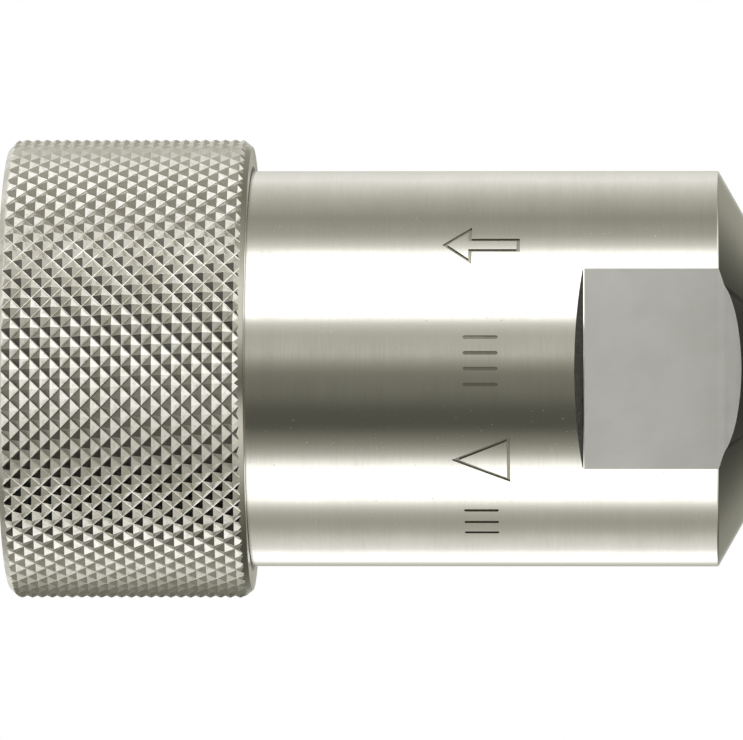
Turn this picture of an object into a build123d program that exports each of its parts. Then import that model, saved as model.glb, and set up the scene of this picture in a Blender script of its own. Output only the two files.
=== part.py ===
from build123d import *
import math
import os

os.makedirs("parts", exist_ok=True)

# ---------------------------------------------------------------------------
# Hydraulic quick-coupling socket with a self-closing poppet check valve.
# +Z is the coupling axis and points out of the mating mouth.  The rear port
# face lies on z = 0.  The two wrench flats face +Y and -Y.  Millimetres.
# ---------------------------------------------------------------------------

# --- body, outside ---
BODY_R = 15.0            # turned barrel
REAR_FACE_R = 11.0       # flat annulus at the port
CONE_LEN = 2.264         # axial length of the steep rear chamfer
FLAT_Y = 13.0            # half of the 26 mm wrench size
FLAT_FRONT_Z = 12.38     # where the flat meets its front wall
FLAT_WALL_DEG = 22.0     # draft of that wall
# the flat is buffed over towards the rear: distance from the axis, height
FLAT_ROLL = [(13.0, 2.35), (12.80, 1.85), (12.42, 1.5), (12.06, 0.96), (11.96, 0.3)]
SHOULDER_Z = 38.3        # barrel ends, spring seats here
PILOT_R = 12.3           # thick ring over the plug seal groove
PILOT_END_Z = 41.8
NOSE_R = 11.2            # thin front tube that carries the balls
NOSE_END_Z = 55.7
STOP_GROOVE_R = 10.5
STOP_GROOVE_Z = (53.93, 55.0)

# --- body, inside ---
PORT_R = 8.33            # 3/8 pipe thread, root of the thread
PORT_LEN = 12.0
GUIDE_BORE_R = 7.4       # register for the valve guide
CHAMBER_R = 8.2          # relieved chamber, so oil can pass the valve head
CHAMBER_REAR_Z = 19.6
CLIP_GROOVE_Z = (13.15, 14.25)
CLIP_GROOVE_R = 7.95
SEAT_END_Z = 33.0        # end of the 45 degree valve seat
THROAT_R = 5.8
CAVITY_Z = 36.0          # floor of the plug cavity
SEAL_BORE_R = 8.7        # bore for the plug's 17.3 mm nose
SEAL_BORE_END_Z = 45.2
MOUTH_BORE_R = 9.55      # bore for the plug's 19 mm locking collar
SEAL_GROOVE_Z = (38.2, 41.6)
SEAL_GROOVE_R = 10.52

# --- locking balls ---
BALLS = 8
BALL_R = 1.5
BALL_Z = 48.1
BALL_RHO = 10.3          # centre, locked: 0.75 mm proud of the mouth bore
BALL_HOLE_R = 1.55
SLEEVE_TRAVEL = 3.5
CAM_SLOPE = 0.25         # ball moves 0.25 mm out for each mm of sleeve travel

# --- sleeve ---
SLEEVE_R = 17.4          # over the crests of the knurl
SLEEVE_REAR_Z = 37.3
SLEEVE_FRONT_Z = 56.0
SKIRT_R = 15.1
STEP_Z = 46.1            # washer bears here
LAND_R = 11.4
CAM_END_Z = BALL_Z + SLEEVE_TRAVEL + BALL_R + 0.05
LIP_END_Z = 53.95
MOUTH_R = 13.3

# --- springs ---
SLEEVE_WIRE, SLEEVE_COIL_R, SLEEVE_TURNS = 0.9, 13.3, 2.6
VALVE_WIRE, VALVE_COIL_R, VALVE_TURNS = 0.8, 4.3, 6.5


def finish(builder, label):
    builder.part.label = label
    export_step(builder.part, f"parts/{label}.step")
    print(label, round(builder.part.volume, 2), "mm3", "valid", builder.part.is_valid)


# ---------------------------------------------------------------------------
# Engraved marks on the barrel: a plain outlined arrow along the axis and
# plain strokes, 0.13 mm deep.
# ---------------------------------------------------------------------------
MARK_Z = 20.0
MARK_DEPTH = 0.13


def mark_plane(degrees_up):
    a = math.radians(degrees_up)
    out = (math.sin(a), -math.cos(a), 0)
    return Plane(
        origin=(16 * out[0], 16 * out[1], MARK_Z), x_dir=(0, 0, 1), z_dir=out
    )


with BuildPart() as marks:
    # outlined arrow, pointing to the mating mouth
    with BuildSketch(mark_plane(38)) as arrow:
        with BuildLine():
            Polyline(
                (-2.9, -0.62), (0.7, -0.62), (0.7, -1.75), (2.9, 0),
                (0.7, 1.75), (0.7, 0.62), (-2.9, 0.62), close=True,
            )
        make_face()
        offset(amount=-0.24, kind=Kind.INTERSECTION, mode=Mode.SUBTRACT)
    extrude(amount=-2)
    # strokes along the axis below it
    for turn in (9, 4.5, 0, -4.5):
        with BuildSketch(mark_plane(turn)) as stroke:
            SlotOverall(2.6, 0.26)
        extrude(amount=-2)
    # small triangle pointer, outlined
    with BuildSketch(mark_plane(-27)) as pointer:
        with BuildLine():
            Polyline((-2.2, -1.9), (2.2, 0), (-2.2, 1.9), close=True)
        make_face()
        offset(amount=-0.24, kind=Kind.INTERSECTION, mode=Mode.SUBTRACT)
    extrude(amount=-2)
    for turn in (-45, -50, -55):
        with BuildSketch(mark_plane(turn)) as stroke_low:
            SlotOverall(2.6, 0.26)
        extrude(amount=-2)
    with BuildSketch(Plane.XY.offset(MARK_Z - 6)) as keep:
        Circle(BODY_R - MARK_DEPTH)
    extrude(amount=12, mode=Mode.SUBTRACT)

# ---------------------------------------------------------------------------
# Body
# ---------------------------------------------------------------------------
with BuildPart() as coupling_body:
    with BuildSketch(Plane.XZ) as body_profile:
        with BuildLine():
            Polyline(
                (9.2, 0), (REAR_FACE_R, 0), (BODY_R, CONE_LEN),
                (BODY_R, SHOULDER_Z - 0.3), (BODY_R - 0.3, SHOULDER_Z),
                (PILOT_R, SHOULDER_Z), (PILOT_R, PILOT_END_Z),
                (NOSE_R, PILOT_END_Z), (NOSE_R, STOP_GROOVE_Z[0]),
                (STOP_GROOVE_R, STOP_GROOVE_Z[0]), (STOP_GROOVE_R, STOP_GROOVE_Z[1]),
                (NOSE_R, STOP_GROOVE_Z[1]), (NOSE_R, NOSE_END_Z - 0.2),
                (NOSE_R - 0.2, NOSE_END_Z), (MOUTH_BORE_R + 0.55, NOSE_END_Z),
                (MOUTH_BORE_R, NOSE_END_Z - 0.55),
                (MOUTH_BORE_R, SEAL_BORE_END_Z + MOUTH_BORE_R - SEAL_BORE_R),
                (SEAL_BORE_R, SEAL_BORE_END_Z), (SEAL_BORE_R, SEAL_GROOVE_Z[1]),
                (SEAL_GROOVE_R, SEAL_GROOVE_Z[1]), (SEAL_GROOVE_R, SEAL_GROOVE_Z[0]),
                (SEAL_BORE_R, SEAL_GROOVE_Z[0]), (SEAL_BORE_R, CAVITY_Z),
                (THROAT_R, CAVITY_Z), (THROAT_R, SEAT_END_Z),
                (CHAMBER_R, SEAT_END_Z - (CHAMBER_R - THROAT_R)),
                (CHAMBER_R, CHAMBER_REAR_Z), (GUIDE_BORE_R, CHAMBER_REAR_Z - 0.8),
                (GUIDE_BORE_R, CLIP_GROOVE_Z[1]),
                (CLIP_GROOVE_R, CLIP_GROOVE_Z[1]), (CLIP_GROOVE_R, CLIP_GROOVE_Z[0]),
                (GUIDE_BORE_R, CLIP_GROOVE_Z[0]), (GUIDE_BORE_R, PORT_LEN + 0.93),
                (PORT_R, PORT_LEN), (PORT_R, 0.87), close=True,
            )
        make_face()
        fillet(
            body_profile.vertices().filter_by(
                lambda v: (v.position - Vector(BODY_R, 0, CONE_LEN)).length < 0.01
                or (v.position - Vector(BODY_R, CONE_LEN, 0)).length < 0.01
            ),
            0.22,
        )
    revolve(axis=Axis.Z)
    # wrench flats: level, with a drafted front wall and a rolled rear end
    for side in (1, -1):
        with BuildSketch(Plane.YZ.offset(-14)) as flat_cut:
            with BuildLine():
                wall_top = FLAT_FRONT_Z + (17 - FLAT_Y) * math.tan(math.radians(FLAT_WALL_DEG))
                Polyline(
                    (side * FLAT_ROLL[-1][0], FLAT_ROLL[-1][1]), (side * 17, -1.5),
                    (side * 17, wall_top), (side * FLAT_Y, FLAT_FRONT_Z),
                    (side * FLAT_ROLL[0][0], FLAT_ROLL[0][1]),
                )
                Spline(*[(side * y, z) for y, z in FLAT_ROLL], tangents=[(0, -1), (0, -1)])
            make_face()
        extrude(amount=28, mode=Mode.SUBTRACT)
    # radial ball holes, necked at the bore so that a ball cannot drop in
    for k in range(BALLS):
        turn = 22.5 + 360 / BALLS * k
        with Locations(Plane.XY.rotated((0, 0, turn)) * Location((0, 0, BALL_Z), (0, 90, 0))):
            with Locations((0, 0, 11.4)):
                Cylinder(BALL_HOLE_R, 2.4, mode=Mode.SUBTRACT)
            with Locations((0, 0, 9.55)):
                Cone(1.16, BALL_HOLE_R, 1.3, mode=Mode.SUBTRACT)
    add(marks.part, mode=Mode.SUBTRACT)
finish(coupling_body, "coupling_body")

# ---------------------------------------------------------------------------
# Locking sleeve: plain envelope of the knurl outside, skirt, land, ball cam
# and stop lip inside
# ---------------------------------------------------------------------------
cam_r = lambda z: BALL_RHO + BALL_R * math.hypot(1, CAM_SLOPE) + 0.04 + CAM_SLOPE * (z - BALL_Z)
cam_start_z = BALL_Z + (LAND_R - cam_r(BALL_Z)) / CAM_SLOPE
with BuildPart() as locking_sleeve:
    with BuildSketch(Plane.XZ) as sleeve_profile:
        with BuildLine():
            Polyline(
                (SKIRT_R + 0.3, SLEEVE_REAR_Z), (SLEEVE_R - 1.1, SLEEVE_REAR_Z),
            )
            ThreePointArc(
                (SLEEVE_R - 1.1, SLEEVE_REAR_Z),
                (SLEEVE_R - 1.1 + 1.1 * math.sin(math.pi / 4), SLEEVE_REAR_Z + 1.1 - 1.1 * math.cos(math.pi / 4)),
                (SLEEVE_R, SLEEVE_REAR_Z + 1.1),
            )
            Polyline(
                (SLEEVE_R, SLEEVE_REAR_Z + 1.1), (SLEEVE_R, SLEEVE_FRONT_Z - 0.7),
                (SLEEVE_R - 0.7, SLEEVE_FRONT_Z), (MOUTH_R + 0.4, SLEEVE_FRONT_Z),
                (MOUTH_R, SLEEVE_FRONT_Z - 0.4), (MOUTH_R, LIP_END_Z),
                (LAND_R, LIP_END_Z), (LAND_R, CAM_END_Z),
                (cam_r(CAM_END_Z), CAM_END_Z), (LAND_R, cam_start_z),
                (LAND_R, STEP_Z), (SKIRT_R, STEP_Z), (SKIRT_R, SLEEVE_REAR_Z + 0.3),
                (SKIRT_R + 0.3, SLEEVE_REAR_Z),
            )
        make_face()
    revolve(axis=Axis.Z)
finish(locking_sleeve, "locking_sleeve")

# ---------------------------------------------------------------------------
# Washer under the sleeve's step, and the split stop ring at the nose
# ---------------------------------------------------------------------------
with BuildPart() as spring_washer:
    with BuildSketch(Plane.XY.offset(STEP_Z - 0.58)) as washer_face:
        Circle(14.9)
        Circle(11.45, mode=Mode.SUBTRACT)
    extrude(amount=0.56)
    chamfer(spring_washer.edges().filter_by(GeomType.CIRCLE).group_by(Axis.Z)[0].sort_by(SortBy.LENGTH)[-1], 0.12)
finish(spring_washer, "spring_washer")

with BuildPart() as sleeve_stop_ring:
    with BuildSketch(Plane.XY.offset(STOP_GROOVE_Z[0] + 0.04)) as ring_face:
        Circle(12.7)
        Circle(STOP_GROOVE_R + 0.02, mode=Mode.SUBTRACT)
        with Locations((0, 11.6)):
            Rectangle(2.4, 4, mode=Mode.SUBTRACT)
    extrude(amount=0.98)
    fillet(
        sleeve_stop_ring.edges().filter_by(GeomType.CIRCLE).sort_by(SortBy.LENGTH)[-2:], 0.15
    )
finish(sleeve_stop_ring, "sleeve_stop_ring")

# ---------------------------------------------------------------------------
# Locking balls, one node each: each one slides in its own hole
# ---------------------------------------------------------------------------
for k in range(BALLS):
    turn = math.radians(22.5 + 360 / BALLS * k)
    with BuildPart() as lock_ball:
        with Locations((BALL_RHO * math.cos(turn), BALL_RHO * math.sin(turn), BALL_Z)):
            Sphere(BALL_R)
    finish(lock_ball, f"lock_ball_{k + 1}")

# ---------------------------------------------------------------------------
# Plug seal: O-ring, and a back-up ring on its low-pressure side
# ---------------------------------------------------------------------------
with BuildPart() as plug_o_ring:
    with BuildSketch(Plane.XZ) as o_section:
        with Locations((SEAL_BORE_R + 0.02 + 0.89, SEAL_GROOVE_Z[0] + 0.04 + 0.89)):
            Circle(0.89)
    revolve(axis=Axis.Z)
finish(plug_o_ring, "plug_o_ring")

with BuildPart() as backup_ring:
    with BuildSketch(Plane.XZ) as b_section:
        with BuildLine():
            Polyline(
                (8.9, 40.04), (10.46, 40.04), (10.46, 41.55), (8.9, 41.55), close=True
            )
        make_face()
    revolve(axis=Axis.Z)
finish(backup_ring, "backup_ring")

# ---------------------------------------------------------------------------
# Check valve: poppet with its seal in a closed groove on the cone
# ---------------------------------------------------------------------------
SEAL_CENTRE = (5.85, 32.05)
with BuildPart() as valve_poppet:
    with BuildSketch(Plane.XZ) as poppet_profile:
        with BuildLine():
            Polyline(
                (0, 14.7), (1.7, 14.7), (2.0, 15.0), (2.0, 26.6), (3.2, 26.6),
                (3.5, 26.9), (3.5, 28.0), (6.6, 28.0), (6.75, 28.15),
                (6.75, 31.93), (5.5, 33.18), (5.5, 35.2), (4.8, 35.9),
                (1.5, 35.9), (0, 35.1), close=True,
            )
        make_face()
        with Locations(SEAL_CENTRE):
            Circle(0.62, mode=Mode.SUBTRACT)
    revolve(axis=Axis.Z)
finish(valve_poppet, "valve_poppet")

with BuildPart() as valve_seal:
    with BuildSketch(Plane.XZ) as seal_section:
        with Locations(SEAL_CENTRE):
            Circle(0.6)
    revolve(axis=Axis.Z)
finish(valve_seal, "valve_seal")

# ---------------------------------------------------------------------------
# Valve guide: hub and rim joined by three ribs, with the flow between them
# ---------------------------------------------------------------------------
GUIDE_Z = CLIP_GROOVE_Z[1] + 0.02
with BuildPart() as valve_guide:
    with BuildSketch(Plane.XY.offset(GUIDE_Z)) as guide_face:
        Circle(7.34)
        Circle(6.1, mode=Mode.SUBTRACT)
        Circle(3.0)
        with PolarLocations(4.6, 3):
            Rectangle(3.8, 2.2)
        Circle(2.08, mode=Mode.SUBTRACT)
    extrude(amount=2.5)
    with BuildSketch(Plane.XY.offset(GUIDE_Z + 2.5)) as hub_face:
        Circle(3.0)
        Circle(2.08, mode=Mode.SUBTRACT)
    extrude(amount=2.2)
    chamfer(
        valve_guide.edges().filter_by(GeomType.CIRCLE).group_by(Axis.Z)[-1].sort_by(SortBy.LENGTH)[-1], 0.3
    )
finish(valve_guide, "valve_guide")

# internal circlip with two eyed lugs
with BuildPart() as guide_circlip:
    with BuildSketch(Plane.XY.offset(CLIP_GROOVE_Z[0] + 0.05)) as clip_face:
        Circle(7.9)
        with Locations((0.35, 0)):
            Circle(6.75, mode=Mode.SUBTRACT)
        with Locations((-7.2, 0)):
            Rectangle(4.0, 3.2, mode=Mode.SUBTRACT)
        for s in (1, -1):
            with Locations((-5.9, s * 2.55)):
                Circle(1.25)
        for s in (1, -1):
            with Locations((-5.85, s * 2.6)):
                Circle(0.6, mode=Mode.SUBTRACT)
    extrude(amount=1.0)
finish(guide_circlip, "guide_circlip")


# ---------------------------------------------------------------------------
# Compression springs: round wire on a helix
# ---------------------------------------------------------------------------
def spring(label, low_z, high_z, wire, coil_r, turns):
    height = high_z - low_z - wire
    with BuildPart() as coil:
        with BuildLine() as path:
            Helix(pitch=height / turns, height=height, radius=coil_r, center=(0, 0, low_z + wire / 2))
        with BuildSketch(Plane(origin=path.line @ 0, z_dir=path.line % 0)):
            Circle(wire / 2)
        sweep(path=path.line, is_frenet=True)
    finish(coil, label)
    length = turns * math.hypot(2 * math.pi * coil_r, height / turns)
    print(label, "wire volume expected", round(length * math.pi * wire**2 / 4, 2))


spring("sleeve_spring", SHOULDER_Z + 0.02, STEP_Z - 0.60, SLEEVE_WIRE, SLEEVE_COIL_R, SLEEVE_TURNS)
spring("valve_spring", GUIDE_Z + 2.5 + 0.03, 27.98, VALVE_WIRE, VALVE_COIL_R, VALVE_TURNS)
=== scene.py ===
import math

import bmesh
import bpy
import numpy as np
from mathutils import Matrix, Vector


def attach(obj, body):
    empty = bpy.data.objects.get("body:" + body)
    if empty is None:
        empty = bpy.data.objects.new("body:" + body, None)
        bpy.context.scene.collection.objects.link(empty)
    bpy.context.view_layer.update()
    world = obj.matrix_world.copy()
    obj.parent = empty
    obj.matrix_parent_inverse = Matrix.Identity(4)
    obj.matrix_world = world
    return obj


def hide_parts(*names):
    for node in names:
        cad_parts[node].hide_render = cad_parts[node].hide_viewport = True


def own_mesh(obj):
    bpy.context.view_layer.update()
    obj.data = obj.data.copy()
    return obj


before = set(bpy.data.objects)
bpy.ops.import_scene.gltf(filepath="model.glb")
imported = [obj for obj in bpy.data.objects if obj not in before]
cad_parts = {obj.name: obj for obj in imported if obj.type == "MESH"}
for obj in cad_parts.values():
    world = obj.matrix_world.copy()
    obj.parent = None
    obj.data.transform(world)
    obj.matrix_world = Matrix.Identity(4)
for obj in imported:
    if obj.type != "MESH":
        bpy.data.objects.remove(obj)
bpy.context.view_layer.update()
MM = 0.001
TAU = 2 * math.pi


# ---------------------------------------------------------------------------
# mesh tools: all shapes are given in millimetres
# ---------------------------------------------------------------------------
def new_mesh(name, verts, faces):
    me = bpy.data.meshes.new(name)
    me.from_pydata([(x * MM, y * MM, z * MM) for x, y, z in verts], [], faces)
    me.validate()
    ob = bpy.data.objects.new(name, me)
    bpy.context.scene.collection.objects.link(ob)
    return ob


def lathe(name, profile, segs=256):
    """Closed solid of revolution about Z. profile is a closed loop of (r, z); points on the axis share one vertex."""
    verts, rows = [], []
    for r, z in profile:
        if r < 1e-6:
            rows.append([len(verts)] * segs)
            verts.append((0, 0, z))
        else:
            rows.append(list(range(len(verts), len(verts) + segs)))
            verts += [(r * math.cos(TAU * k / segs), r * math.sin(TAU * k / segs), z) for k in range(segs)]
    faces = []
    n = len(profile)
    for i in range(n):
        a, b = rows[i], rows[(i + 1) % n]
        if a[0] == a[-1] and b[0] == b[-1]:
            continue
        for k in range(segs):
            q = [a[k], a[(k + 1) % segs], b[(k + 1) % segs], b[k]]
            q = [v for i, v in enumerate(q) if v != q[i - 1]]
            if len(q) > 2:
                faces.append(q)
    ob = new_mesh(name, verts, faces)
    outward(ob)
    return ob


def outward(ob):
    bm = bmesh.new()
    bm.from_mesh(ob.data)
    bmesh.ops.recalc_face_normals(bm, faces=bm.faces)
    bm.to_mesh(ob.data)
    bm.free()


def fillet_profile(points, radii, steps=4):
    """Rounds the corners of a closed (r, z) loop: radii maps a point's index to its radius."""
    out, n = [], len(points)
    for i, p in enumerate(points):
        rad = radii.get(i, 0)
        if rad <= 0:
            out.append(p)
            continue
        p = Vector(p)
        a, b = Vector(points[i - 1]) - p, Vector(points[(i + 1) % n]) - p
        la, lb = a.length, b.length
        a.normalize(); b.normalize()
        half = math.acos(max(-1, min(1, a.dot(b)))) / 2
        t = min(rad / math.tan(half), 0.48 * la, 0.48 * lb)
        rad = t * math.tan(half)
        c = p + (a + b).normalized() * (rad / math.sin(half))
        s, e = p + a * t - c, p + b * t - c
        a0, a1 = math.atan2(s.y, s.x), math.atan2(e.y, e.x)
        d = (a1 - a0 + math.pi) % TAU - math.pi
        for k in range(steps + 1):
            w = a0 + d * k / steps
            out.append((c.x + rad * math.cos(w), c.y + rad * math.sin(w)))
    return out


def cut(ob, tool, how="DIFFERENCE", keep_tool=False):
    m = ob.modifiers.new("cut", "BOOLEAN")
    m.operation = how
    m.object = tool
    m.solver = "MANIFOLD"
    dg = bpy.context.evaluated_depsgraph_get()
    made = bpy.data.meshes.new_from_object(ob.evaluated_get(dg))
    if len(made.polygons) == 0:
        m.solver = "EXACT"
        dg = bpy.context.evaluated_depsgraph_get()
        made = bpy.data.meshes.new_from_object(ob.evaluated_get(dg))
    ob.modifiers.clear()
    old = ob.data
    ob.data = made
    bpy.data.meshes.remove(old)
    if not keep_tool:
        bpy.data.objects.remove(tool)
    return ob


def tidy(ob, dist=0.0008):
    bm = bmesh.new()
    bm.from_mesh(ob.data)
    bmesh.ops.remove_doubles(bm, verts=bm.verts, dist=dist * MM)
    bmesh.ops.dissolve_degenerate(bm, edges=bm.edges, dist=dist * MM * 0.5)
    bm.to_mesh(ob.data)
    bm.free()


def true_normals(ob, angle=24.0):
    """Custom normals: a face of revolution is shaded as the true surface, and faces within the angle of each other are blended at a shared corner."""
    me = ob.data
    me.polygons.foreach_set("use_smooth", [True] * len(me.polygons))
    co = np.zeros(len(me.vertices) * 3); me.vertices.foreach_get("co", co); co = co.reshape(-1, 3)
    nl = len(me.loops)
    lv = np.zeros(nl, int); me.loops.foreach_get("vertex_index", lv)
    npoly = len(me.polygons)
    start = np.zeros(npoly, int); me.polygons.foreach_get("loop_start", start)
    total = np.zeros(npoly, int); me.polygons.foreach_get("loop_total", total)
    pn = np.zeros(npoly * 3); me.polygons.foreach_get("normal", pn); pn = pn.reshape(-1, 3)
    pc = np.zeros(npoly * 3); me.polygons.foreach_get("center", pc); pc = pc.reshape(-1, 3)
    area = np.zeros(npoly); me.polygons.foreach_get("area", area)
    lp = np.repeat(np.arange(npoly), total)
    order = np.concatenate([np.arange(s, s + t) for s, t in zip(start, total)])
    poly_of = np.zeros(nl, int); poly_of[order] = lp
    th = np.arctan2(pc[:, 1], pc[:, 0])
    nr = pn[:, 0] * np.cos(th) + pn[:, 1] * np.sin(th)
    nt = -pn[:, 0] * np.sin(th) + pn[:, 1] * np.cos(th)
    vth = np.arctan2(co[:, 1], co[:, 0])
    vr = np.hypot(co[:, 0], co[:, 1])

    def spread(values):
        v = values[order]
        at = np.cumsum(total) - total
        return np.maximum.reduceat(v, at) - np.minimum.reduceat(v, at)

    # a face belongs to a surface of revolution when its corners share one straight line in (radius, height)
    hr = np.sign(nr) * np.hypot(nr, nt)
    level = spread(hr[poly_of] * vr[lv] + pn[poly_of, 2] * co[lv, 2])
    same_r = spread(vr[lv]) < 1.5e-6
    turned = (level < 2e-6) & (np.abs(nt) < 0.05)
    n = pn[poly_of].copy()
    a = vth[lv]
    on_turned = turned[poly_of] & (vr[lv] > 1e-5)
    n[on_turned, 0] = (hr[poly_of] * np.cos(a))[on_turned]
    n[on_turned, 1] = (hr[poly_of] * np.sin(a))[on_turned]
    wall = (same_r & ~turned & (np.abs(pn[:, 2]) < 0.9))[poly_of]
    out_in = np.where(nr[poly_of] < 0, -1.0, 1.0)
    n[wall, 0] = (out_in * np.cos(a))[wall]
    n[wall, 1] = (out_in * np.sin(a))[wall]
    n[wall, 2] = 0.0
    n /= np.maximum(np.linalg.norm(n, axis=1)[:, None], 1e-12)
    # blend at each vertex
    cosmin = math.cos(math.radians(angle))
    idx = np.argsort(lv, kind="stable")
    bounds = np.flatnonzero(np.diff(lv[idx])) + 1
    out = n.copy()
    w = area[poly_of]
    for g in np.split(idx, bounds):
        m = n[g]
        close = (m @ m.T) > cosmin
        s = (close * w[g][None, :]) @ m
        out[g] = s / np.maximum(np.linalg.norm(s, axis=1)[:, None], 1e-12)
    me.normals_split_custom_set([tuple(v) for v in out])
    me.update()


# ---------------------------------------------------------------------------
# materials
# ---------------------------------------------------------------------------
class Nodes:
    def __init__(self, name):
        self.mat = bpy.data.materials.new(name)
        self.mat.use_nodes = True
        self.t = self.mat.node_tree
        self.t.nodes.clear()
        self.out = self.t.nodes.new("ShaderNodeOutputMaterial")
        self.bsdf = self.t.nodes.new("ShaderNodeBsdfPrincipled")
        self.t.links.new(self.bsdf.outputs[0], self.out.inputs[0])
        self.tc = self.t.nodes.new("ShaderNodeTexCoord")

    def node(self, kind, **props):
        n = self.t.nodes.new(kind)
        for k, v in props.items():
            setattr(n, k, v)
        return n

    def link(self, a, b):
        self.t.links.new(a, b)

    def put(self, socket, value):
        if isinstance(value, bpy.types.NodeSocket):
            self.link(value, socket)
        else:
            socket.default_value = value

    def math(self, op, a, b=None, c=None, clamp=False):
        n = self.node("ShaderNodeMath", operation=op, use_clamp=clamp)
        for s, v in zip(n.inputs, (a, b, c)):
            if v is not None:
                self.put(s, v)
        return n.outputs[0]

    def xyz(self, v=None):
        n = self.node("ShaderNodeSeparateXYZ")
        self.link(v or self.tc.outputs["Object"], n.inputs[0])
        return n.outputs

    def vec(self, x, y, z):
        n = self.node("ShaderNodeCombineXYZ")
        for s, v in zip(n.inputs, (x, y, z)):
            self.put(s, v)
        return n.outputs[0]

    def noise(self, vector, scale, detail=2.0, rough=0.5):
        n = self.node("ShaderNodeTexNoise")
        self.put(n.inputs["Vector"], vector)
        n.inputs["Scale"].default_value = scale
        n.inputs["Detail"].default_value = detail
        n.inputs["Roughness"].default_value = rough
        return n.outputs[0]

    def ramp(self, fac, stops, interp="LINEAR"):
        n = self.node("ShaderNodeValToRGB")
        self.put(n.inputs[0], fac)
        n.color_ramp.interpolation = interp
        el = n.color_ramp.elements
        while len(el) > 1:
            el.remove(el[-1])
        el[0].position = stops[0][0]; el[0].color = colour(stops[0][1])
        for p, c in stops[1:]:
            e = el.new(p); e.color = colour(c)
        return n.outputs[0]

    def remap(self, v, a, b, c, d, clamp=True):
        n = self.node("ShaderNodeMapRange", clamp=clamp)
        for s, x in zip(n.inputs[:5], (v, a, b, c, d)):
            self.put(s, x)
        return n.outputs[0]

    def mix(self, fac, a, b, blend="MIX"):
        n = self.node("ShaderNodeMix", data_type="RGBA", blend_type=blend)
        self.put(n.inputs[0], fac)
        self.put(n.inputs[6], a)
        self.put(n.inputs[7], b)
        return n.outputs[2]

    def bump(self, height, distance, strength=1.0, normal=None):
        n = self.node("ShaderNodeBump")
        self.put(n.inputs["Height"], height)
        n.inputs["Distance"].default_value = distance
        n.inputs["Strength"].default_value = strength
        if normal is not None:
            self.link(normal, n.inputs["Normal"])
        return n.outputs[0]

    def polar(self):
        """(azimuth, radius, height) of the shading point in the object's own frame."""
        x, y, z = self.xyz()
        az = self.math("ARCTAN2", y, x)
        r = self.math("SQRT", self.math("ADD", self.math("MULTIPLY", x, x), self.math("MULTIPLY", y, y)))
        return az, r, z


def colour(c):
    if isinstance(c, (int, float)):
        return (c, c, c, 1)
    return (*c, 1) if len(c) == 3 else c


def srgb(r, g, b):
    f = lambda v: (v / 255 / 12.92) if v / 255 <= 0.04045 else ((v / 255 + 0.055) / 1.055) ** 2.4
    return (f(r), f(g), f(b), 1)


def turned_metal(name, base, dark, rough, ring_um=0.5, ring_scale=5200.0, aniso=0.6, patch=0.35, speck=0.25):
    """Turned and plated metal: rings around Z from the tool, patches of slightly different gloss, and small dull specks."""
    m = Nodes(name)
    az, r, z = m.polar()
    arc = m.math("MULTIPLY", az, 0.0011)
    rings_at = m.vec(m.math("MULTIPLY", r, 1.0), arc, z)
    fine = m.noise(rings_at, ring_scale, 3.0, 0.6)
    coarse = m.noise(m.vec(r, m.math("MULTIPLY", az, 0.0006), z), ring_scale * 0.16, 2.0, 0.5)
    cloud = m.noise(m.tc.outputs["Object"], 260.0, 4.0, 0.55)
    dots = m.noise(m.tc.outputs["Object"], 5200.0, 2.0, 0.5)
    tone = m.math("ADD", m.remap(coarse, 0.35, 0.65, -0.5, 0.5, False), m.remap(fine, 0.35, 0.65, -0.5, 0.5, False))
    col = m.mix(m.math("MULTIPLY_ADD", m.math("ADD", tone, m.remap(cloud, 0.35, 0.65, -0.7, 0.7, False)), patch * 0.5, 0.4, clamp=True), colour(base), colour(dark))
    m.link(col, m.bsdf.inputs["Base Color"])
    m.bsdf.inputs["Metallic"].default_value = 1.0
    spots = m.remap(dots, 0.70, 0.76, 0.0, speck)
    rr = m.math("ADD", m.remap(cloud, 0.3, 0.7, rough * 0.86, rough * 1.18, False), m.math("MULTIPLY_ADD", tone, rough * 0.16, spots))
    m.link(rr, m.bsdf.inputs["Roughness"])
    m.bsdf.inputs["Anisotropic"].default_value = aniso
    tan = m.node("ShaderNodeTangent", direction_type="RADIAL", axis="Z")
    m.link(tan.outputs[0], m.bsdf.inputs["Tangent"])
    h = m.math("ADD", m.math("MULTIPLY", fine, 0.6), m.math("MULTIPLY", coarse, 0.4))
    m.link(m.bump(h, ring_um * 1e-6, 1.0), m.bsdf.inputs["Normal"])
    return m


NICKEL = (0.602, 0.592, 0.548)
NICKEL_DARK = (0.500, 0.488, 0.440)


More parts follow.
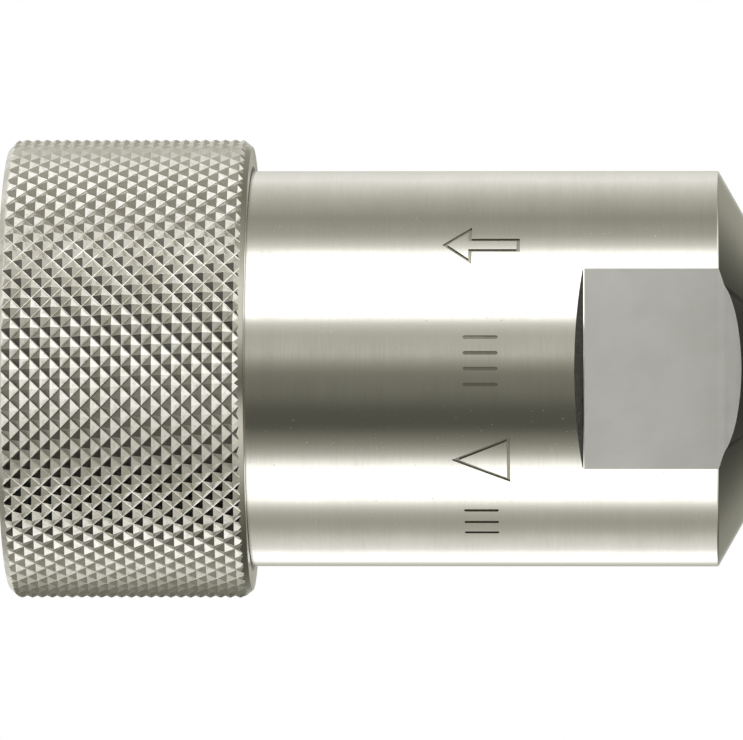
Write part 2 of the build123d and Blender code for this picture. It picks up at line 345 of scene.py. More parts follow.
def make_materials():
    mats = {}
    m = turned_metal("nickel_barrel", NICKEL, NICKEL_DARK, 0.13, ring_um=0.5, aniso=0.15)
    mats["barrel"] = m.mat

    # blasted wrench flats: matte, with a fine grain
    m = Nodes("nickel_flat")
    grain = m.noise(m.tc.outputs["Object"], 7200.0, 3.0, 0.65)
    cloud = m.noise(m.tc.outputs["Object"], 420.0, 3.0, 0.5)
    m.link(m.mix(m.remap(cloud, 0.3, 0.7, 0.0, 1.0), (0.960, 0.958, 0.940, 1), (0.900, 0.897, 0.875, 1)), m.bsdf.inputs["Base Color"])
    m.bsdf.inputs["Metallic"].default_value = 0.12
    m.link(m.remap(grain, 0.3, 0.7, 0.62, 0.76), m.bsdf.inputs["Roughness"])
    m.link(m.bump(grain, 5e-6, 0.8), m.bsdf.inputs["Normal"])
    mats["flat"] = m.mat

    # the step that the milling cutter left at the end of each flat: a torn surface, coloured near black as painted
    # shade on that face
    m = Nodes("milled_step_painted_shade")
    x, y, z = m.xyz()
    tear = m.noise(m.vec(x, m.math("MULTIPLY", y, 0.3), m.math("MULTIPLY", z, 0.3)), 5200.0, 3.0, 0.7)
    m.link(m.mix(m.remap(tear, 0.35, 0.7, 0.0, 1.0), (0.030, 0.029, 0.026, 1), (0.105, 0.100, 0.082, 1)), m.bsdf.inputs["Base Color"])
    m.bsdf.inputs["Metallic"].default_value = 0.8
    m.bsdf.inputs["Roughness"].default_value = 0.5
    m.link(m.bump(tear, 8e-6, 0.8), m.bsdf.inputs["Normal"])
    mats["step"] = m.mat

    # knurled nickel: pressed facets with small dull spots, and painted shade that darkens the very bottom of the
    # grooves
    m = Nodes("nickel_knurl")
    az, r, z = m.polar()
    deep = m.remap(r, 0.017108, 0.017150, 1.0, 0.0)
    cloud = m.noise(m.tc.outputs["Object"], 520.0, 3.0, 0.6)
    spots = m.noise(m.tc.outputs["Object"], 3400.0, 3.0, 0.6)
    grain = m.noise(m.tc.outputs["Object"], 9000.0, 2.0, 0.6)
    face = m.mix(m.remap(cloud, 0.3, 0.7, 0.0, 1.0), (0.660, 0.650, 0.612, 1), (0.570, 0.556, 0.500, 1))
    face = m.mix(m.remap(spots, 0.52, 0.72, 0.0, 0.55), face, (0.400, 0.380, 0.310, 1))
    # painted shade: the colour darkens towards the groove floors, where shade falls; the same mask also adds roughness
    # there
    painted_groove_shade = m.math("MULTIPLY", deep, m.remap(cloud, 0.25, 0.65, 0.10, 0.45))
    m.link(m.mix(painted_groove_shade, face, (0.200, 0.185, 0.145, 1)), m.bsdf.inputs["Base Color"])
    m.bsdf.inputs["Metallic"].default_value = 1.0
    m.link(m.math("ADD", m.remap(spots, 0.35, 0.72, 0.12, 0.26), m.math("MULTIPLY", painted_groove_shade, 0.2)), m.bsdf.inputs["Roughness"])
    m.link(m.bump(grain, 1.2e-6, 0.6), m.bsdf.inputs["Normal"])
    mats["knurl"] = m.mat

    # the flank of each tooth that the knurling wheel leaves last is duller than the other
    m = Nodes("nickel_knurl_dull")
    cloud = m.noise(m.tc.outputs["Object"], 520.0, 3.0, 0.6)
    spots = m.noise(m.tc.outputs["Object"], 3400.0, 3.0, 0.6)
    grain = m.noise(m.tc.outputs["Object"], 9000.0, 2.0, 0.6)
    face = m.mix(m.remap(cloud, 0.3, 0.7, 0.0, 1.0), (0.660, 0.650, 0.612, 1), (0.570, 0.556, 0.500, 1))
    m.link(m.mix(m.remap(spots, 0.52, 0.72, 0.0, 0.5), face, (0.400, 0.380, 0.310, 1)), m.bsdf.inputs["Base Color"])
    m.bsdf.inputs["Metallic"].default_value = 1.0
    m.link(m.remap(spots, 0.35, 0.72, 0.30, 0.42), m.bsdf.inputs["Roughness"])
    m.link(m.bump(grain, 1.2e-6, 0.6), m.bsdf.inputs["Normal"])
    mats["knurl_dull"] = m.mat

    mats["sleeve_smooth"] = turned_metal("nickel_sleeve_rim", (0.560, 0.545, 0.470), (0.440, 0.425, 0.350), 0.26, ring_um=1.0, aniso=0.5).mat
    # painted shade: a darker copy of the sleeve's nickel on its back chamfer and back face
    mats["sleeve_chamfer"] = turned_metal("nickel_sleeve_chamfer_painted_shade", (0.420, 0.408, 0.350), (0.300, 0.290, 0.240), 0.16, ring_um=0.8, aniso=0.3).mat
    mats["bore"] = turned_metal("bored_steel", (0.500, 0.490, 0.450), (0.400, 0.390, 0.345), 0.30, ring_um=1.4, ring_scale=4200.0, aniso=0.6).mat
    mats["engraved"] = turned_metal("engraved_nickel", (0.360, 0.350, 0.300), (0.250, 0.240, 0.195), 0.36, ring_um=0.8, aniso=0.2).mat
    mats["washer"] = turned_metal("washer_steel", (0.520, 0.515, 0.490), (0.400, 0.395, 0.370), 0.28, ring_um=1.0).mat
    mats["valve"] = turned_metal("turned_valve_steel", (0.600, 0.590, 0.555), (0.460, 0.450, 0.410), 0.17, ring_um=1.2, ring_scale=3800.0, aniso=0.65).mat
    mats["ring"] = turned_metal("phosphated_ring", (0.115, 0.113, 0.110), (0.060, 0.059, 0.058), 0.42, ring_um=0.8, aniso=0.1).mat
    mats["brass"] = turned_metal("turned_brass", (0.740, 0.545, 0.235), (0.560, 0.390, 0.150), 0.26, ring_um=1.0).mat

    # ball bearing steel: near mirror, with hair scratches
    m = Nodes("ball_steel")
    scratch = m.noise(m.tc.outputs["Object"], 2600.0, 5.0, 0.7)
    m.link(m.mix(m.remap(scratch, 0.3, 0.7, 0.0, 1.0), (0.760, 0.760, 0.770, 1), (0.640, 0.640, 0.650, 1)), m.bsdf.inputs["Base Color"])
    m.bsdf.inputs["Metallic"].default_value = 1.0
    m.link(m.remap(scratch, 0.35, 0.7, 0.05, 0.13), m.bsdf.inputs["Roughness"])
    mats["ball"] = m.mat

    # spring wire: drawn along its length, light oil
    m = Nodes("spring_wire")
    az, r, z = m.polar()
    draw = m.noise(m.vec(m.math("MULTIPLY", r, 9.0), m.math("MULTIPLY", az, 0.001), m.math("MULTIPLY", z, 3.0)), 1500.0, 3.0, 0.6)
    m.link(m.mix(m.remap(draw, 0.3, 0.7, 0.0, 1.0), (0.430, 0.425, 0.420, 1), (0.270, 0.265, 0.260, 1)), m.bsdf.inputs["Base Color"])
    m.bsdf.inputs["Metallic"].default_value = 1.0
    m.link(m.remap(draw, 0.3, 0.7, 0.20, 0.34), m.bsdf.inputs["Roughness"])
    m.link(m.bump(draw, 4e-6, 0.7), m.bsdf.inputs["Normal"])
    mats["wire"] = m.mat

    # moulded nitrile rubber: faint bloom and a fine grain
    m = Nodes("nitrile")
    cloud = m.noise(m.tc.outputs["Object"], 900.0, 4.0, 0.6)
    grain = m.noise(m.tc.outputs["Object"], 9000.0, 2.0, 0.5)
    m.link(m.mix(m.remap(cloud, 0.35, 0.75, 0.0, 1.0), (0.014, 0.014, 0.015, 1), (0.030, 0.030, 0.031, 1)), m.bsdf.inputs["Base Color"])
    m.link(m.remap(grain, 0.3, 0.7, 0.42, 0.60), m.bsdf.inputs["Roughness"])
    m.link(m.bump(grain, 3e-6, 0.7), m.bsdf.inputs["Normal"])
    mats["rubber"] = m.mat

    # PTFE: waxy white
    m = Nodes("ptfe")
    cloud = m.noise(m.tc.outputs["Object"], 700.0, 3.0, 0.5)
    m.link(m.mix(m.remap(cloud, 0.3, 0.7, 0.0, 1.0), (0.780, 0.770, 0.730, 1), (0.690, 0.680, 0.640, 1)), m.bsdf.inputs["Base Color"])
    m.link(m.remap(cloud, 0.3, 0.7, 0.36, 0.50), m.bsdf.inputs["Roughness"])
    m.bsdf.inputs["Subsurface Weight"].default_value = 0.15
    m.bsdf.inputs["Subsurface Radius"].default_value = (0.0006, 0.0006, 0.0005)
    mats["ptfe"] = m.mat
    return mats


M = make_materials()


def paint(ob, *mats):
    ob.data.materials.clear()
    for m in mats:
        ob.data.materials.append(M[m])


# ---------------------------------------------------------------------------
# knurled sleeve
# ---------------------------------------------------------------------------
R_CREST, DEPTH = 17.4, 0.295
NA, NB = 70, 71                  # grooves of each hand, around
FA, FB = 0.643, 0.685            # and along, per millimetre
DET = NA * FB + NB * FA
START_A, START_B = 0.708, 0.583  # where the first groove of each hand runs
Z_BACK, Z_FRONT = 37.58, 56.0    # the back face, where the knurl's end chamfer finishes
KNURL_START = 37.70
PHI0 = -math.pi / 2              # azimuth that faces the camera


def knurl_blank(z0, z1):
    """Closed cylinder whose wall carries the two crossed families of V grooves."""
    w, e = 0.030, 0.020
    verts, index = [], {}

    def at(a, b, r):
        u = (FB * a + FA * b) / DET
        n = math.floor(u + 1e-9)
        a, b, u = a - n * NA, b - n * NB, u - n
        key = (round(a * 1000) , round(b * 1000), round(r * 10000))
        if key not in index:
            z = (NA * (b + START_B) - NB * (a + START_A)) / DET + 46.0
            f = PHI0 + TAU * (u + (FB * START_A + FA * START_B) / DET)
            index[key] = len(verts)
            verts.append((r * math.cos(f), r * math.sin(f), z))
        return index[key]

    floor_r, top_r = R_CREST - DEPTH, R_CREST
    faces = []
    for i in range(-NA, 2 * NA):
        for j in range(-NB, 2 * NB):
            u = (FB * (i + 0.5) + FA * (j + 0.5)) / DET
            if not 0 <= u < 1:
                continue
            z = (NA * (j + START_B + 0.5) - NB * (i + START_A + 0.5)) / DET + 46.0
            if not z0 - 2.2 < z < z1 + 2.2:
                continue
            lo = [(i + w, j + w), (i + 1 - w, j + w), (i + 1 - w, j + 1 - w), (i + w, j + 1 - w)]
            hi = [(i + .5 - e, j + .5 - e), (i + .5 + e, j + .5 - e), (i + .5 + e, j + .5 + e), (i + .5 - e, j + .5 + e)]
            L = [at(*p, floor_r) for p in lo]
            H = [at(*p, top_r) for p in hi]
            for k in range(4):
                faces.append((L[k], L[(k + 1) % 4], H[(k + 1) % 4], H[k]))
            faces.append(tuple(H))
            faces.append((at(i - w, j + w, floor_r), L[0], L[3], at(i - w, j + 1 - w, floor_r)))
            faces.append((at(i + w, j - w, floor_r), at(i + 1 - w, j - w, floor_r), L[1], L[0]))
            faces.append((at(i - w, j - w, floor_r), at(i + w, j - w, floor_r), L[0], at(i - w, j + w, floor_r)))
    ob = new_mesh("knurl_blank", verts, faces)
    bm = bmesh.new()
    bm.from_mesh(ob.data)
    bmesh.ops.remove_doubles(bm, verts=bm.verts, dist=1e-8)
    for zz, sign in ((z0, -1), (z1, 1)):
        g = bm.verts[:] + bm.edges[:] + bm.faces[:]
        bmesh.ops.bisect_plane(bm, geom=g, dist=1e-8, plane_co=(0, 0, zz * MM), plane_no=(0, 0, sign), clear_outer=True)
        c = bm.verts.new((0, 0, zz * MM))
        for ed in [x for x in bm.edges if len(x.link_faces) == 1 and all(abs(v.co.z - zz * MM) < 2e-8 for v in x.verts)]:
            bm.faces.new((ed.verts[0], ed.verts[1], c))
    bmesh.ops.recalc_face_normals(bm, faces=bm.faces)
    bad = sum(1 for x in bm.edges if not x.is_manifold)
    print("knurl blank faces", len(bm.faces), "non-manifold edges", bad)
    bm.to_mesh(ob.data)
    bm.free()
    return ob


def build_sleeve():
    # the same section as the CAD sleeve, with its small edges eased
    pts = [(15.4, Z_BACK), (16.82, Z_BACK), (17.4, 38.30), (17.4, Z_FRONT - 0.7), (16.7, Z_FRONT), (13.7, Z_FRONT),
           (13.3, 55.6), (13.3, 53.95), (11.4, 53.95), (11.4, 53.15), (13.1365, 53.15), (11.4, 46.2), (11.4, 46.1),
           (15.1, 46.1), (15.1, Z_BACK + 0.3)]
    prof = fillet_profile(pts, {0: 0.08, 1: 0.10, 4: 0.10, 5: 0.08, 6: 0.08, 8: 0.08, 9: 0.06, 13: 0.15, 14: 0.08}, 7)
    body = lathe("knurled_sleeve", prof, 360)
    blank = knurl_blank(KNURL_START, 57.0)
    collar = lathe("collar", [(0, 36.0), (18.2, 36.0), (18.2, KNURL_START + 0.02), (0, KNURL_START + 0.02)], 128)
    cut(blank, collar, "UNION")
    cut(body, blank, "INTERSECT")
    body.data.materials.clear()
    paint(body, "knurl", "sleeve_smooth", "bore", "sleeve_chamfer", "knurl_dull")
    for p in body.data.polygons:
        c = p.center / MM
        r = math.hypot(c.x, c.y)
        if r < 15.35:
            p.material_index = 2
        elif (c.z < 38.31 and abs(r - (16.82 + (c.z - Z_BACK) * 0.58 / 0.72)) < 0.012) or c.z < KNURL_START:
            p.material_index = 3
        elif (r > 13 and c.z > Z_FRONT - 0.02) or r < 16.8:
            p.material_index = 1
        else:
            around = (p.normal.y * c.x - p.normal.x * c.y) / r
            p.material_index = 4 if around < -0.2 else 0
    true_normals(body)
    return body


sleeve = build_sleeve()
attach(sleeve, "sleeve")
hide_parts("locking_sleeve")

# ---------------------------------------------------------------------------
# body
# ---------------------------------------------------------------------------
BARREL_R = 15.0


def prism(name, loop, x0, x1):
    """Closed prism along X. loop is (y, z) points."""
    n = len(loop)
    verts = [(x0, y, z) for y, z in loop] + [(x1, y, z) for y, z in loop]
    faces = [tuple(range(n)), tuple(range(2 * n - 1, n - 1, -1))]
    faces += [(i, i + n, (i + 1) % n + n, (i + 1) % n) for i in range(n)]
    ob = new_mesh(name, verts, faces)
    outward(ob)
    return ob


def spline_points(pts, steps):
    """Catmull-Rom through the points."""
    out = []
    p = [tuple(2 * a - b for a, b in zip(pts[0], pts[1]))] + list(pts) + [tuple(2 * a - b for a, b in zip(pts[-1], pts[-2]))]
    for i in range(1, len(p) - 2):
        for k in range(steps):
            t = k / steps
            out.append(tuple(0.5 * (2 * b + (c - a) * t + (2 * a - 5 * b + 4 * c - d) * t * t + (3 * b - a - 3 * c + d) * t ** 3)
                             for a, b, c, d in zip(p[i - 1], p[i], p[i + 1], p[i + 2])))
    out.append(pts[-1])
    return out


def engrave_loop(outer, inner, degrees_up, z_mid, r0, r1):
    """Closed frame between two loops of (along z, around) millimetres, wrapped on the barrel."""
    def wrap(s, t, r):
        a = math.radians(degrees_up) + t / BARREL_R
        return (r * math.sin(a), -r * math.cos(a), z_mid + s)

    def dense(loop, counts):
        out = []
        for i, (a, b) in enumerate(zip(loop, loop[1:] + loop[:1])):
            m = counts[i]
            out += [(a[0] + (b[0] - a[0]) * k / m, a[1] + (b[1] - a[1]) * k / m) for k in range(m)]
        return out

    counts = [max(1, int(math.dist(a, b) / 0.35)) for a, b in zip(outer, outer[1:] + outer[:1])]
    o = dense(outer, counts)
    verts, faces = [], []
    if inner:
        i_ = dense(inner, counts)
        n = len(o)
        for ring, r in ((o, r0), (o, r1), (i_, r0), (i_, r1)):
            verts += [wrap(s, t, r) for s, t in ring]
        for k in range(n):
            q = (k + 1) % n
            faces += [(k, q, q + n, k + n), (k + 2 * n, k + 3 * n, q + 3 * n, q + 2 * n),
                      (k, k + 2 * n, q + 2 * n, q), (k + n, q + n, q + 3 * n, k + 3 * n)]
    else:
        n = len(o)
        for r in (r0, r1):
            verts += [wrap(s, t, r) for s, t in o]
        faces = [tuple(range(n)), tuple(range(2 * n - 1, n - 1, -1))]
        faces += [(k, k + n, (k + 1) % n + n, (k + 1) % n) for k in range(n)]
    ob = new_mesh("mark", verts, faces)
    outward(ob)
    return ob


def inset(loop, d):
    """Loop moved inwards by d; loop runs counter-clockwise."""
    out, n = [], len(loop)
    for i in range(n):
        a, b, c = Vector(loop[i - 1]), Vector(loop[i]), Vector(loop[(i + 1) % n])
        e0, e1 = (b - a).normalized(), (c - b).normalized()
        n0, n1 = Vector((-e0.y, e0.x)), Vector((-e1.y, e1.x))
        m = (n0 + n1).normalized()
        out.append(tuple(b + m * (d / max(0.2, m.dot(n0)))))
    return out


def slot_loop(length, width, steps=6):
    r, h = width / 2, (length - width) / 2
    out = []
    for k in range(steps + 1):
        a = -math.pi / 2 + math.pi * k / steps
        out.append((h + r * math.cos(a), r * math.sin(a)))
    for k in range(steps + 1):
        a = math.pi / 2 + math.pi * k / steps
        out.append((-h + r * math.cos(a), r * math.sin(a)))
    return out


def thread_ridge():
    """Whitworth-form ridge of the port's internal pipe thread, faded in and out."""
    pitch, major, minor = 1.337, 8.40, 7.475
    z0, turns, segs = 1.47, 7.06, 72
    n = int(turns * segs)
    verts, faces = [], []
    half_root, half_crest = 0.60, 0.145
    for k in range(n + 1):
        t = k / segs
        fade = max(0.02, min(1.0, t / 0.6, (turns - t) / 1.1))
        a = TAU * t
        z = z0 + pitch * t
        rc = major - (major - minor) * fade
        hc = half_crest + (half_root - half_crest) * (1 - fade) * 0.35
        sec = [(major, -half_root), (rc + 0.12 * fade, -hc - 0.07), (rc, -hc + 0.03), (rc, hc - 0.03), (rc + 0.12 * fade, hc + 0.07), (major, half_root)]
        verts += [(r * math.cos(a), r * math.sin(a), z + dz) for r, dz in sec]
    m = 6
    for k in range(n):
        for i in range(m):
            j = (i + 1) % m
            faces.append((k * m + i, k * m + j, (k + 1) * m + j, (k + 1) * m + i))
    faces += [tuple(range(m)), tuple(range((n + 1) * m - 1, n * m - 1, -1))]
    ob = new_mesh("thread", verts, faces)
    outward(ob)
    return ob


def build_body():
    pts = [(9.2, 0), (11.0, 0), (15.0, 2.264), (15.0, 38.0), (14.7, 38.3), (12.3, 38.3), (12.3, 41.8), (11.2, 41.8),
           (11.2, 53.93), (10.5, 53.93), (10.5, 55.0), (11.2, 55.0), (11.2, 55.5), (11.0, 55.7), (10.1, 55.7), (9.55, 55.15),
           (9.55, 46.05), (8.7, 45.2), (8.7, 41.6), (10.52, 41.6), (10.52, 38.2), (8.7, 38.2), (8.7, 36.0), (5.8, 36.0),
           (5.8, 33.0), (8.2, 30.6), (8.2, 19.6), (7.4, 18.8), (7.4, 14.25), (7.95, 14.25), (7.95, 13.15), (7.4, 13.15),
           (7.4, 12.93), (8.33, 12.0), (8.33, 0.87)]
    rad = {0: 0.06, 1: 0.10, 2: 0.22, 3: 0.06, 5: 0.2, 6: 0.2, 7: 0.2, 9: 0.05, 10: 0.05, 13: 0.08, 14: 0.08, 15: 0.1,
           16: 0.1, 17: 0.15, 18: 0.1, 21: 0.1, 22: 0.25, 23: 0.25, 24: 0.05, 25: 0.1, 26: 0.2}
    ob = lathe("body_shell", fillet_profile(pts, rad, 5), 384)
    # wrench flats
    roll = spline_points([(13.0, 2.35), (12.80, 1.85), (12.42, 1.5), (12.06, 0.96), (11.96, 0.3)], 6)
    tan = math.tan(math.radians(17))
    f = 0.16
    for side in (1, -1):
        # fillet between the flat and its front wall: circle of radius f tangent to both
        cy = 13.0 + f
        zc = 12.38 + f * tan - f / math.cos(math.radians(17))
        turns = [math.radians(73) * k / 7 for k in range(8)]
        arc = [(cy - f * math.cos(t), zc + f * math.sin(t)) for t in turns]
        loop = [(17.0, -1.5)] + [(p[0], p[1]) for p in reversed(roll)] + arc + [(17.0, 12.38 + 4.0 * tan)]
        tool = prism("flat", [(side * y, z) for y, z in loop], -14, 14)
        cut(ob, tool)
    # ball holes
    for k in range(8):
        a = math.radians(22.5 + 45 * k)
        h = lathe("hole", [(0, 8.6), (1.07, 8.6), (1.34, 9.5), (1.55, 10.2), (1.55, 12.6), (0, 12.6)], 48)
        for v in h.data.vertices:
            x, y, z = v.co / MM
            rho = z
            v.co = Vector((rho * math.cos(a) - x * math.sin(a), rho * math.sin(a) + x * math.cos(a), 48.1 + y)) * MM
        outward(h)
        cut(ob, h)
    # generic engraved marks
    r0, r1 = BARREL_R - 0.13, BARREL_R + 0.5
    arrow = [(-2.9, -0.62), (0.7, -0.62), (0.7, -1.75), (2.9, 0), (0.7, 1.75), (0.7, 0.62), (-2.9, 0.62)]
    marks = [engrave_loop(arrow, inset(arrow, 0.24), 38, 20, r0, r1)]
    tri = [(-2.2, -1.9), (2.2, 0), (-2.2, 1.9)]
    marks.append(engrave_loop(tri, inset(tri, 0.24), -27, 20, r0, r1))
    for turn in (9, 4.5, 0, -4.5, -45, -50, -55):
        marks.append(engrave_loop(slot_loop(2.6, 0.26), None, turn, 20, r0, r1))
    for mk in marks:
        cut(ob, mk)
    cut(ob, thread_ridge(), "UNION")
    tidy(ob)
    paint(ob, "barrel", "flat", "bore", "engraved", "step")
    for p in ob.data.polygons:
        c = p.center / MM
        r = math.hypot(c.x, c.y)
        n = p.normal
        rmax = max(math.hypot(v.x, v.y) for v in (ob.data.vertices[i].co for i in p.vertices)) / MM
        rmin = min(math.hypot(v.x, v.y) for v in (ob.data.vertices[i].co for i in p.vertices)) / MM
        level = abs(n.x) < 0.004 and abs(c.y) > 11.9
        if level and c.z < 2.6 and abs(c.y) < 13.01 and n.z > -0.97 and abs(n.y) > 0.2 and not (rmax - rmin < 0.002):
            p.material_index = 1
        elif level and 2.2 < c.z < 12.55 and abs(n.y) > 0.80 and rmax - rmin > 0.002:
            p.material_index = 1
        elif level and c.z > 12.2 and c.z < 13.6 and n.z < -0.5:
            p.material_index = 4
        elif 16.5 < c.z < 23.5 and 14.8 < r < 14.985:
            p.material_index = 3
        elif r < 10.4 and (c.z < 55.4) and not (c.z < 0.5 and r > 9.3):
            p.material_index = 2
        elif c.z > 38.2:
            p.material_index = 2
    true_normals(ob)
    return ob


body = build_body()
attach(body, "body")
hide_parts("coupling_body")


# ---------------------------------------------------------------------------
# springs: round wire with closed, ground ends
# ---------------------------------------------------------------------------
def spring(name, z0, z1, wire, coil_r, turns, closed=0.8, segs=40, ring=12):
    """Right-handed compression spring. Its last turns at each end close up."""
    rw = wire / 2
    n = int((turns + 2 * closed) * segs)
    zs, total = [], turns + 2 * closed
    # height along the wire: slope 'flat' in the closed ends, eased into the active coils
    def slope(t):
        e = min(t, total - t)
        return 0.10 + 0.90 * max(0.0, min(1.0, (e - closed * 0.5) / 0.55)) ** 1.0
    acc = [0.0]
    for k in range(n):
        acc.append(acc[-1] + slope((k + 0.5) / segs))
    lo, hi = z0 + rw * 0.82, z1 - rw * 0.82
    verts, faces = [], []
    for k in range(n + 1):
        z = lo + (hi - lo) * acc[k] / acc[-1]
        a = TAU * k / segs
        for i in range(ring):
            b = TAU * i / ring
            r = coil_r + rw * math.cos(b)
            zz = z + rw * math.sin(b)
            zz = min(max(zz, z0), z1)
            verts.append((r * math.cos(a), r * math.sin(a), zz))
    for k in range(n):
        for i in range(ring):
            j = (i + 1) % ring
            faces.append((k * ring + i, k * ring + j, (k + 1) * ring + j, (k + 1) * ring + i))
    faces += [tuple(range(ring)), tuple(range((n + 1) * ring - 1, n * ring - 1, -1))]
    ob = new_mesh(name, verts, faces)
    outward(ob)
    for p in ob.data.polygons:
        p.use_smooth = len(p.vertices) == 4
    paint(ob, "wire")
    return ob


s1 = spring("sleeve_return_spring", 38.32, 45.50, 0.9, 13.3, 2.0, closed=0.55)
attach(s1, "body")
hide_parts("sleeve_spring")
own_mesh(s1)
s2 = spring("valve_return_spring", 16.80, 27.98, 0.8, 4.3, 5.4, closed=0.7)
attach(s2, "body")
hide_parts("valve_spring")
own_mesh(s2)

# ---------------------------------------------------------------------------
# CAD nodes that keep their shape
# ---------------------------------------------------------------------------
finish_of = {"spring_washer": "washer", "sleeve_stop_ring": "ring", "plug_o_ring": "rubber", "backup_ring": "ptfe",
             "valve_poppet": "valve", "valve_seal": "rubber", "valve_guide": "brass", "guide_circlip": "ring"}
for k in range(8):
    finish_of[f"lock_ball_{k + 1}"] = "ball"
for node, mat in finish_of.items():
    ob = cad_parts[node]
    ob.data.materials.clear()
    ob.data.materials.append(M[mat])

# ---------------------------------------------------------------------------
# floor, light and camera
# ---------------------------------------------------------------------------
bpy.ops.mesh.primitive_circle_add(vertices=128, radius=0.125, fill_type="NGON", location=(0, 0, -0.00002))
floor = bpy.context.object
floor.name = "floor"
fm = Nodes("floor_white")
fm.bsdf.inputs["Base Color"].default_value = (0.90, 0.90, 0.895, 1)
fm.bsdf.inputs["Roughness"].default_value = 0.9
_, r_floor, _ = fm.polar()
clear = fm.node("ShaderNodeBsdfTransparent")
fade = fm.node("ShaderNodeMixShader")
fm.link(fm.remap(r_floor, 0.045, 0.120, 0.0, 1.0), fade.inputs[0])
fm.link(fm.bsdf.outputs[0], fade.inputs[1])
fm.link(clear.outputs[0], fade.inputs[2])
fm.link(fade.outputs[0], fm.out.inputs[0])
floor.data.materials.append(fm.mat)
floor.visible_glossy = False      # the metal mirrors the studio under the stand, not the stand itself

world = bpy.data.worlds.new("studio")
bpy.context.scene.world = world
world.use_nodes = True
wt = world.node_tree
wt.nodes.clear()
out = wt.nodes.new("ShaderNodeOutputWorld")
mixs = wt.nodes.new("ShaderNodeMixShader")
lp = wt.nodes.new("ShaderNodeLightPath")
bg_cam = wt.nodes.new("ShaderNodeBackground")
bg_env = wt.nodes.new("ShaderNodeBackground")
bg_cam.inputs[0].default_value = (1, 1, 1, 1)
bg_cam.inputs[1].default_value = 1.0
tc = wt.nodes.new("ShaderNodeTexCoord")
sep = wt.nodes.new("ShaderNodeSeparateXYZ")
wt.links.new(tc.outputs["Generated"], sep.inputs[0])


def wmath(op, a, b=None):
    n = wt.nodes.new("ShaderNodeMath")
    n.operation = op
    for s, v in zip(n.inputs, (a, b)):
        if v is None:
            continue
        if isinstance(v, bpy.types.NodeSocket):
            wt.links.new(v, s)
        else:
            s.default_value = v
    return n.outputs[0]


# The studio as seen from the object: azimuth from -Y towards +X in degrees, and the tone a nickel surface shows there.
# LEVEL is the band round the horizon, HIGH the band 25 to 55 degrees above it and LOW the same below it.
azim = wmath("ARCTAN2", sep.outputs[0], wmath("MULTIPLY", sep.outputs[1], -1.0))
turnfrac = wmath("ADD", wmath("DIVIDE", azim, TAU), 0.5)
LEVEL = [(-180, 160), (-166, 152), (-158, 190), (-151, 262), (-137, 262), (-131, 224), (-118, 198), (-108, 164), (-100, 154),
         (-92, 172), (-86, 215), (-82, 275), (-60, 275), (-55, 225), (-51, 172), (-44, 128), (-34, 78), (-24, 82), (-14, 108),
         (-2, 118), (4, 150), (8, 182), (20, 172), (27, 200), (31, 285), (69, 285), (75, 208), (84, 160), (98, 140), (116, 172),
         (143, 222), (158, 175)]
HIGH = [(-180, 207), (-156, 209), (-144, 170), (-132, 112), (-122, 102), (-108, 118), (-84, 138), (-70, 122), (-55, 52), (-45, 22),
        (-35, 8), (-26, 4), (-15, 8), (-4, 22), (8, 46), (18, 74), (29, 104), (45, 121), (68, 134), (87, 150), (96, 163),
        (106, 183), (116, 195), (130, 208), (150, 216)]
LOW = [(-180, 130), (-156, 118), (-144, 96), (-132, 90), (-122, 96), (-104, 140), (-93, 190), (-80, 228), (-65, 250), (-53, 250),
       (-43, 222), (-35, 172), (-26, 142), (-15, 138), (-4, 160), (8, 190), (19, 210), (30, 230), (39, 244), (48, 252), (58, 258),
       (80, 258), (88, 240), (97, 208), (106, 178), (116, 150), (128, 140), (150, 150)]


def tone(v):
    lin = ((min(v, 255) / 255 + 0.055) / 1.055) ** 2.4 / 0.60
    if v > 255:
        lin += (v - 255) * 0.03
    warm = min(1.0, max(0.0, (245 - v) / 110))      # the dim parts of the room are a little olive
    return colour((lin, lin * (1 - 0.01 * warm), lin * (1 - 0.16 * warm)))


def band(stops):
    n = wt.nodes.new("ShaderNodeValToRGB")
    wt.links.new(turnfrac, n.inputs[0])
    el = n.color_ramp.elements
    el[0].position = 0.0; el[0].color = tone(stops[0][1])
    el[1].position = 1.0; el[1].color = tone(stops[0][1])
    for deg, v in stops[1:-1] if stops[-1][0] == 180 else stops[1:]:
        if len(el) == 32:
            break
        e = el.new((deg + 180) / 360)
        e.color = tone(v)
    return n.outputs[0]


def wrange(v, a, b, c=0.0, d=1.0):
    n = wt.nodes.new("ShaderNodeMapRange")
    n.interpolation_type = "SMOOTHSTEP"
    wt.links.new(v, n.inputs[0])
    for s, x in zip(n.inputs[1:5], (a, b, c, d)):
        s.default_value = x
    return n.outputs[0]


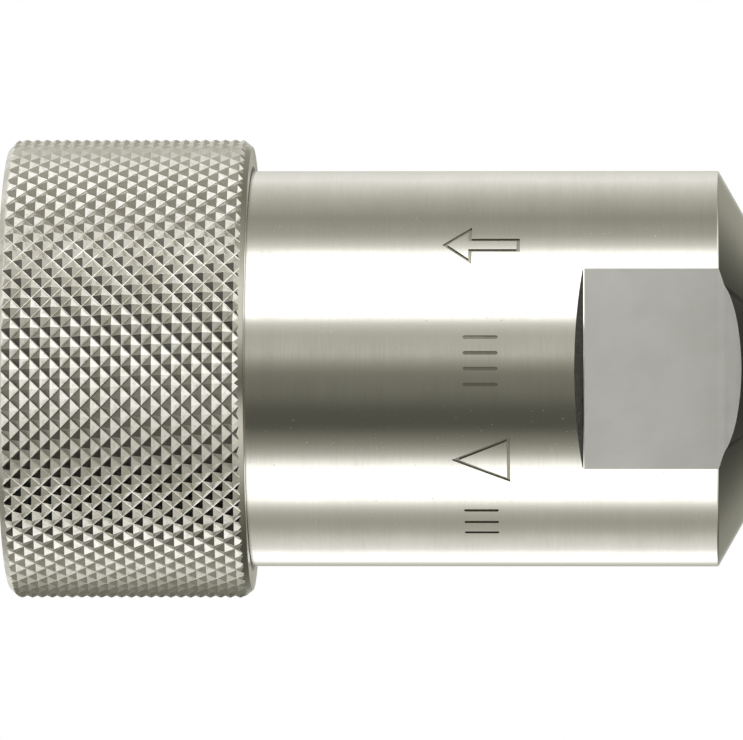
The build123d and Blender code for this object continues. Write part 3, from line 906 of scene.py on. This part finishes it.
def wmix(fac, a, b):
    n = wt.nodes.new("ShaderNodeMix")
    n.data_type = "RGBA"
    wt.links.new(fac, n.inputs[0])
    for s, v in ((n.inputs[6], a), (n.inputs[7], b)):
        if isinstance(v, bpy.types.NodeSocket):
            wt.links.new(v, s)
        else:
            s.default_value = v
    return n.outputs[2]


up_down = sep.outputs[2]
sky = wmix(wrange(up_down, 0.07, 0.22), band(LEVEL), band(HIGH))
sky = wmix(wrange(wmath("MULTIPLY", up_down, -1.0), 0.07, 0.22), sky, band(LOW))
# a soft box overhead, and a dim space behind and under the object
sky = wmix(wrange(up_down, 0.84, 0.95), sky, tone(225))
behind = wrange(wmath("ABSOLUTE", azim), math.radians(118), math.radians(150))
under = wrange(wmath("MULTIPLY", up_down, -1.0), 0.42, 0.85)
sky = wmix(wmath("MULTIPLY", behind, under), sky, tone(52))
sky = wmix(wrange(wmath("MULTIPLY", up_down, -1.0), 0.952, 0.984), sky, tone(22))
wt.links.new(sky, bg_env.inputs[0])
bg_env.inputs[1].default_value = 1.0
wt.links.new(lp.outputs["Is Camera Ray"], mixs.inputs[0])
wt.links.new(bg_env.outputs[0], mixs.inputs[1])
wt.links.new(bg_cam.outputs[0], mixs.inputs[2])
wt.links.new(mixs.outputs[0], out.inputs[0])

cam_data = bpy.data.cameras.new("camera")
cam = bpy.data.objects.new("camera", cam_data)
bpy.context.scene.collection.objects.link(cam)
bpy.context.scene.camera = cam
cam_data.sensor_width = 36.0
cam_data.sensor_fit = "HORIZONTAL"
cam_data.lens = 485.1
cam_data.clip_start = 0.01
cam_data.clip_end = 20.0
eye = Vector((-0.0001, -0.760, 0.00229))
aim = Vector((-0.0001, 0.0, 0.02860))
forward = (aim - eye).normalized()
up = Vector((1, 0, 0))
right = forward.cross(up).normalized()
up = right.cross(forward)
rot = [[right[i], up[i], -forward[i]] for i in range(3)]
cam.matrix_world = Matrix.Translation(eye) @ Matrix(rot).to_4x4()

sc = bpy.context.scene
sc.view_settings.view_transform = "Standard"
sc.view_settings.look = "None"
